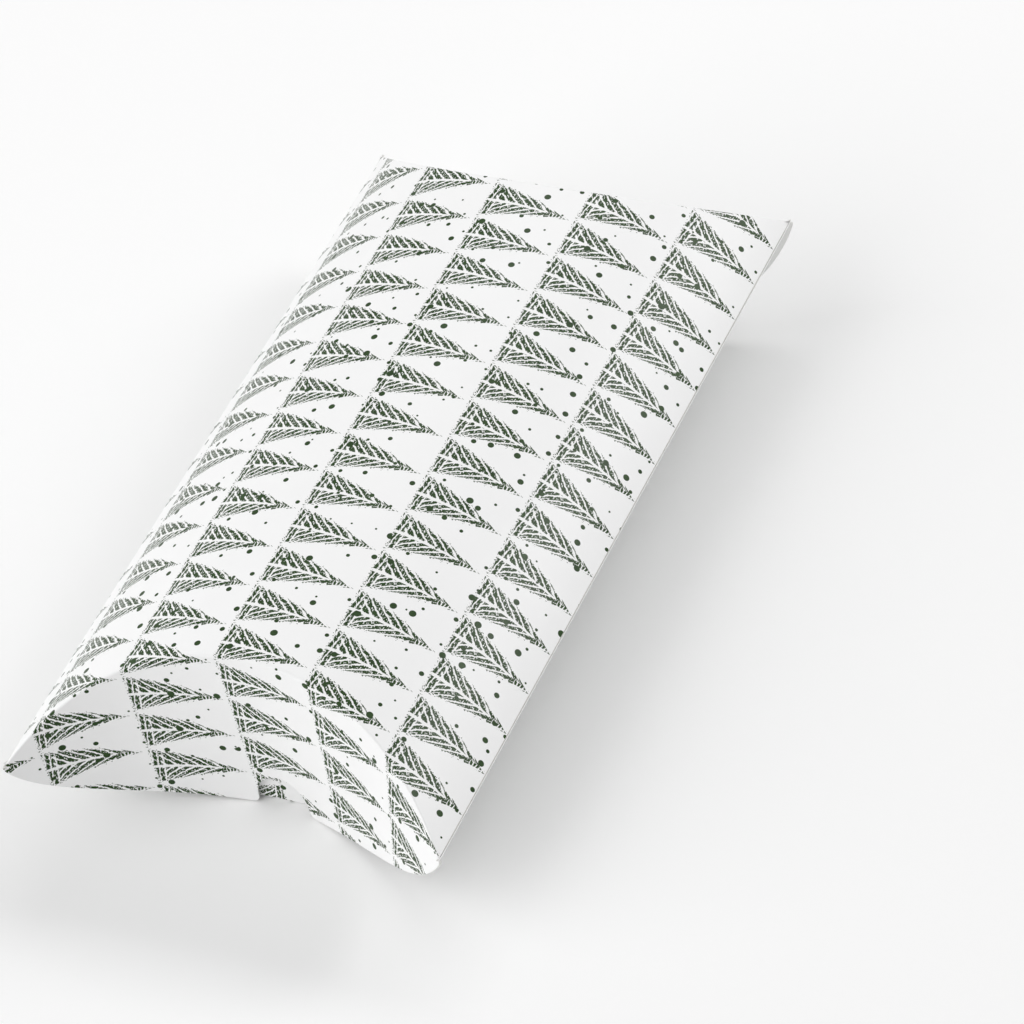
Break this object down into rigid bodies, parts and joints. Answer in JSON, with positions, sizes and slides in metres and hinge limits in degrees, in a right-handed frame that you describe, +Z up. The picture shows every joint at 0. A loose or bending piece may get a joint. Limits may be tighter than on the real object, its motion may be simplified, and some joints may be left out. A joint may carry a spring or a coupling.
{
  "type": "pillow box",
  "caption": "Pillow-shaped gift box folded from printed white card, bowed top and bottom, closed at both ends by curved flaps with a thumb notch.",
  "frame": {"origin": "on the surface that the box lies on, under the middle of the box", "axes": "+X along the box, +Y across it, +Z up; the glued seam is on the -Y side"},
  "size_m": [0.15, 0.0796, 0.036],
  "materials": {
    "printed_card": "smooth white board printed in dark green, slightly glossy",
    "plain_card": "unprinted white board, matt",
    "glue": "dried white glue"
  },
  "bodies": {
    "sleeve": {"top_panel": "printed_card", "bottom_panel": "printed_card", "seam_tab": "plain_card", "seam_glue": "glue"},
    "near_outer_flap": {"near_outer_flap": "printed_card"},
    "near_inner_flap": {"near_inner_flap": "printed_card"},
    "far_outer_flap": {"far_outer_flap": "printed_card"},
    "far_inner_flap": {"far_inner_flap": "printed_card"}
  },
  "joints": [
    {"name": "near_outer_fold", "type": "hinge", "parent": "sleeve", "child": "near_outer_flap", "pos_m": [-0.05702, 0, 0.03597], "axis": [0, 1, 0], "range_deg": [0, 90]},
    {"name": "near_inner_fold", "type": "hinge", "parent": "sleeve", "child": "near_inner_flap", "pos_m": [-0.05602, 0, 0], "axis": [0, -1, 0], "range_deg": [0, 45]},
    {"name": "far_outer_fold", "type": "hinge", "parent": "sleeve", "child": "far_outer_flap", "pos_m": [0.05702, 0, 0.03597], "axis": [0, -1, 0], "range_deg": [0, 90]},
    {"name": "far_inner_fold", "type": "hinge", "parent": "sleeve", "child": "far_inner_flap", "pos_m": [0.05602, 0, 0], "axis": [0, 1, 0], "range_deg": [0, 45]}
  ],
  "couplings": [
    {"joint": "near_inner_fold", "follows": "near_outer_fold", "ratio": 0.5},
    {"joint": "far_inner_fold", "follows": "far_outer_fold", "ratio": 0.5}
  ]
}
